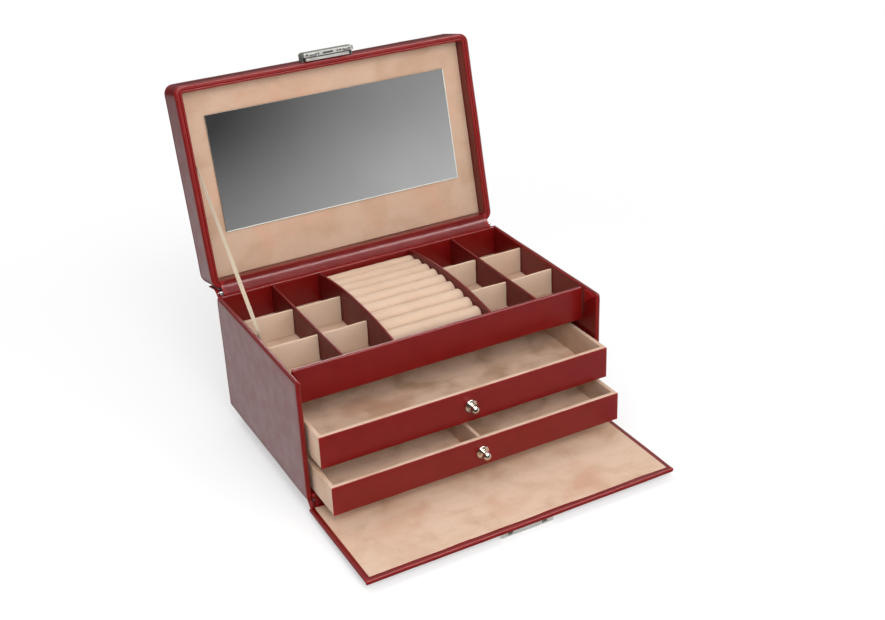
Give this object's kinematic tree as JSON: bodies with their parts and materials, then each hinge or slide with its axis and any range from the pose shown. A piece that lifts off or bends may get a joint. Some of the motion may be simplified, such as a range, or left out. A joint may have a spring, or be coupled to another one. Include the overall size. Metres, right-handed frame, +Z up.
{
  "type": "leather jewellery case",
  "caption": "Leather-covered jewellery case standing open, with a mirrored lid, carrying handle, fitted tray, drawers, a drop-down front flap and a push-button lock.",
  "frame": {"origin": "on the floor under the middle of the whole open case, with the middle of the body 4.462 mm behind it", "axes": "+X to the right seen from the front, -Y to the front, +Z up"},
  "size_m": [0.3, 0.4098, 0.3307],
  "materials": {
    "red_leather": "smooth, semi-gloss, fine grain",
    "suede": "napped, matt",
    "board": "raw fibreboard and turned wood",
    "padding": "felted wadding",
    "ribbon": "woven ribbon",
    "mirror": "silvered",
    "nickel": "polished nickel plate",
    "steel": "plain steel"
  },
  "bodies": {
    "case": {"base_board": "board", "side_boards": "board", "back_board": "board", "case_leather": "red_leather", "case_lining": "red_leather", "drawer_shelf": "board", "drawer_runners": "suede", "feet": "board", "foot_screws": "steel", "tray_shelf": "board", "tray_front": "red_leather", "tray_lining": "suede", "straight_dividers": "red_leather", "arched_dividers": "red_leather", "tray_partitions": "suede", "ring_rolls": "suede", "lid_hinge_case_leaf": "steel", "flap_hinge_case_leaf": "steel", "hinge_pins": "steel", "outer_hinge_strip": "red_leather", "inner_hinge_strip": "red_leather", "flap_hinge_strip": "red_leather", "stay_ribbon": "ribbon"},
    "lid": {"lid_walls": "board", "lid_top_board": "board", "lid_leather": "red_leather", "lid_padding": "padding", "lid_inner_frame": "red_leather", "lid_lining": "suede", "lid_mirror": "mirror", "lid_hinge_lid_leaf": "steel", "hasp_cover": "nickel", "hasp_hooks": "steel", "hasp_screws": "steel", "handle_posts": "nickel", "handle_screws": "steel"},
    "handle": {"handle_strap": "red_leather"},
    "flap": {"flap_board": "board", "flap_leather": "red_leather", "flap_lining": "suede", "flap_hinge_flap_leaf": "steel", "lock_base_plate": "steel", "lock_case": "nickel", "lock_screws": "steel", "left_latch_spring": "steel", "right_latch_spring": "steel"},
    "key_cylinder": {"key_cylinder": "nickel"},
    "left_button": {"left_button": "nickel"},
    "right_button": {"right_button": "nickel"},
    "upper_drawer": {"upper_drawer_front": "red_leather", "upper_drawer_box": "suede", "upper_drawer_lining": "suede", "upper_knob": "nickel", "upper_knob_screw": "steel"},
    "lower_drawer": {"lower_drawer_front": "red_leather", "lower_drawer_box": "suede", "lower_drawer_lining": "suede", "lower_drawer_divider": "suede", "lower_knob": "nickel", "lower_knob_screw": "steel"}
  },
  "joints": [
    {"name": "lid_hinge", "type": "hinge", "parent": "case", "child": "lid", "pos_m": [0, 0.10221, 0.1335], "axis": [1, 0, 0], "range_deg": [0, 102.5], "deforming": ["stay_ribbon", "inner_hinge_strip", "outer_hinge_strip"]},
    {"name": "handle_press", "type": "slide", "parent": "lid", "child": "handle", "axis": [0, -0.9763, 0.2164], "range_m": [0, 0.015], "stiffness_N_per_m": 300, "deforming": ["handle_strap"]},
    {"name": "flap_hinge", "type": "hinge", "parent": "case", "child": "flap", "pos_m": [0, -0.08614, 0.0139], "axis": [-1, 0, 0], "range_deg": [0, 90], "deforming": ["flap_hinge_strip"]},
    {"name": "upper_drawer_slide", "type": "slide", "parent": "case", "child": "upper_drawer", "axis": [0, 1, 0], "range_m": [0, 0.043]},
    {"name": "lower_drawer_slide", "type": "slide", "parent": "case", "child": "lower_drawer", "axis": [0, 1, 0], "range_m": [0, 0.0616]},
    {"name": "left_button_press", "type": "slide", "parent": "flap", "child": "left_button", "axis": [1, 0, 0], "range_m": [0, 0.0025], "stiffness_N_per_m": 600, "deforming": ["left_latch_spring"]},
    {"name": "right_button_press", "type": "slide", "parent": "flap", "child": "right_button", "axis": [-1, 0, 0], "range_m": [0, 0.0025], "stiffness_N_per_m": 600, "deforming": ["right_latch_spring"]},
    {"name": "key_turn", "type": "hinge", "parent": "flap", "child": "key_cylinder", "pos_m": [0, -0.18754, 0.0015], "axis": [0, 0, 1], "range_deg": [0, 90]}
  ],
  "couplings": [
    {"joint": "upper_drawer_slide", "follows": "flap_hinge", "m_per_rad": 0.027311},
    {"joint": "lower_drawer_slide", "follows": "flap_hinge", "m_per_rad": 0.039152}
  ]
}
